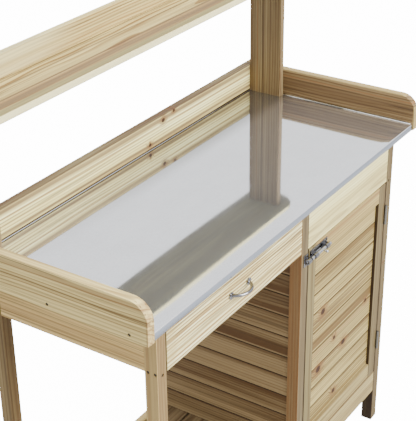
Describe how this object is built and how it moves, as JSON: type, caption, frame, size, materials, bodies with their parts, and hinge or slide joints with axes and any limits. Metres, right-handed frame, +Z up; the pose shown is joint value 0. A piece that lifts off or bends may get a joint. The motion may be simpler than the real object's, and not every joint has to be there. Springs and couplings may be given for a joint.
{
  "type": "potting bench",
  "caption": "Wooden potting bench with a metal-covered worktop, a drawer, a side cabinet with a bolted door, an open slatted shelf and a raised top shelf.",
  "frame": {"origin": "on the floor, at the middle of the bench's length and depth", "axes": "+X along the bench towards its cabinet end, +Y from the drawer side to the back, +Z up"},
  "size_m": [1.14, 0.46, 1.198],
  "materials": {
    "pale_fir": "sawn and sanded, pale with fine straight grain",
    "knotty_fir": "sanded, with knots and streaks",
    "tan_fir": "lightly stained, strong straight grain",
    "brown_fir": "stained brown and olive, strong grain",
    "plywood": "thin plywood",
    "galvanised_sheet": "bright galvanised sheet, near mirror",
    "bright_zinc": "bright zinc plate",
    "dark_zinc": "dull zinc",
    "screw_steel": "dull plated steel"
  },
  "bodies": {
    "frame": {"leg_front_left": "tan_fir", "leg_front_middle": "tan_fir", "leg_front_right": "tan_fir", "leg_back_left": "tan_fir", "leg_back_middle": "tan_fir", "leg_back_right": "tan_fir", "side_apron_left": "tan_fir", "side_apron_right": "tan_fir", "back_apron_left": "tan_fir", "back_apron_right": "tan_fir", "middle_top_rail": "tan_fir", "fascia_panel": "pale_fir", "lower_side_rail_left": "tan_fir", "lower_side_rail_right": "tan_fir", "lower_middle_rail": "tan_fir", "lower_front_rail_left": "tan_fir", "lower_front_rail_right": "tan_fir", "lower_back_rail_left": "tan_fir", "lower_back_rail_right": "tan_fir", "lower_shelf_slats": "tan_fir", "cabinet_floor_boards": "brown_fir", "cabinet_wall_left_planks": "brown_fir", "cabinet_wall_right_planks": "brown_fir", "cabinet_back_planks": "brown_fir", "panel_battens": "brown_fir", "worktop_board": "tan_fir", "metal_sheet": "galvanised_sheet", "side_board_left": "tan_fir", "side_board_right": "tan_fir", "back_board": "tan_fir", "post_left": "tan_fir", "post_right": "tan_fir", "top_shelf": "pale_fir", "shelf_rail": "pale_fir", "drawer_runner_left": "tan_fir", "drawer_runner_right": "tan_fir", "hinge_leaves_leg": "dark_zinc", "hinge_pins": "dark_zinc", "bolt_keeper": "bright_zinc", "leg_hardware_screws": "screw_steel", "board_screws": "screw_steel"},
    "drawer": {"drawer_front": "pale_fir", "drawer_side_left": "tan_fir", "drawer_side_right": "tan_fir", "drawer_back": "tan_fir", "drawer_bottom": "plywood", "drawer_handle": "bright_zinc", "handle_screws": "screw_steel"},
    "door": {"door_stile_left": "knotty_fir", "door_stile_right": "knotty_fir", "door_rail_top": "pale_fir", "door_rail_bottom": "knotty_fir", "door_planks": "knotty_fir", "hinge_leaves_door": "dark_zinc", "hinge_screws_door": "screw_steel", "bolt_plate": "bright_zinc", "bolt_plate_screws": "screw_steel"},
    "bolt": {"bolt_rod": "bright_zinc"}
  },
  "joints": [
    {"name": "drawer_slide", "type": "slide", "parent": "frame", "child": "drawer", "axis": [0, -1, 0], "range_m": [0, 0.25]},
    {"name": "door_hinge", "type": "hinge", "parent": "frame", "child": "door", "pos_m": [0.451, -0.2053, 0.43], "axis": [0, 0, 1], "range_deg": [0, 110]},
    {"name": "bolt_slide", "type": "slide", "parent": "door", "child": "bolt", "axis": [-1, 0, 0], "range_m": [0, 0.016]}
  ]
}
